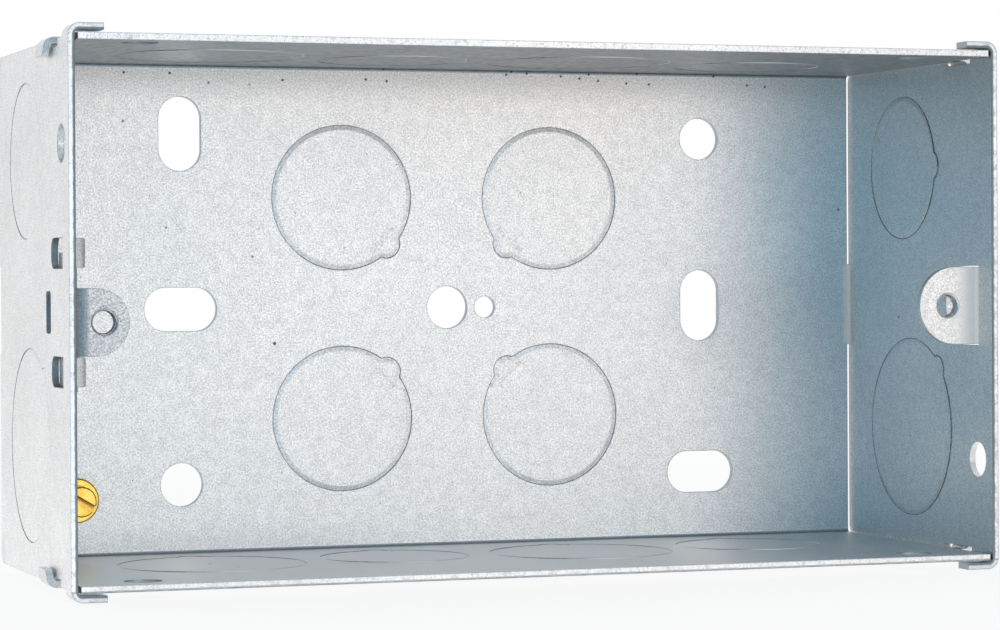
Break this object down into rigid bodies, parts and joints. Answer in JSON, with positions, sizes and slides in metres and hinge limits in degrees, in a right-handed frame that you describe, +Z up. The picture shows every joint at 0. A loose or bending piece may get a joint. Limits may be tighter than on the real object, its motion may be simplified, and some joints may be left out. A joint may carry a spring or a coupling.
{
  "type": "flush back box",
  "caption": "Open-fronted rectangular flush-mounting back box folded from galvanised sheet steel, with round knock-outs, a fixed and a sliding fixing lug and a brass earth screw.",
  "frame": {"origin": "centre of the rear face, in the plane that lies against the wall", "axes": "+X right along the long side, +Z up, +Y out of the rear face into the wall; the open front faces -Y"},
  "size_m": [0.1342, 0.047, 0.0738],
  "materials": {
    "galvanised_steel": "satin zinc coating with fine speckle",
    "brass": "bright turned brass"
  },
  "bodies": {
    "box": {"box_body": "galvanised_steel"},
    "slider": {"adjustable_lug": "galvanised_steel"},
    "screw": {"earth_screw": "brass"}
  },
  "joints": [
    {"name": "lug_slide", "type": "slide", "parent": "box", "child": "slider", "axis": [0, 0, 1], "range_m": [0, 0.0025]},
    {"name": "screw_turn", "type": "hinge", "parent": "box", "child": "screw", "pos_m": [-0.0557, -0.0029, -0.0267], "axis": [0, 1, 0], "continuous": true}
  ]
}
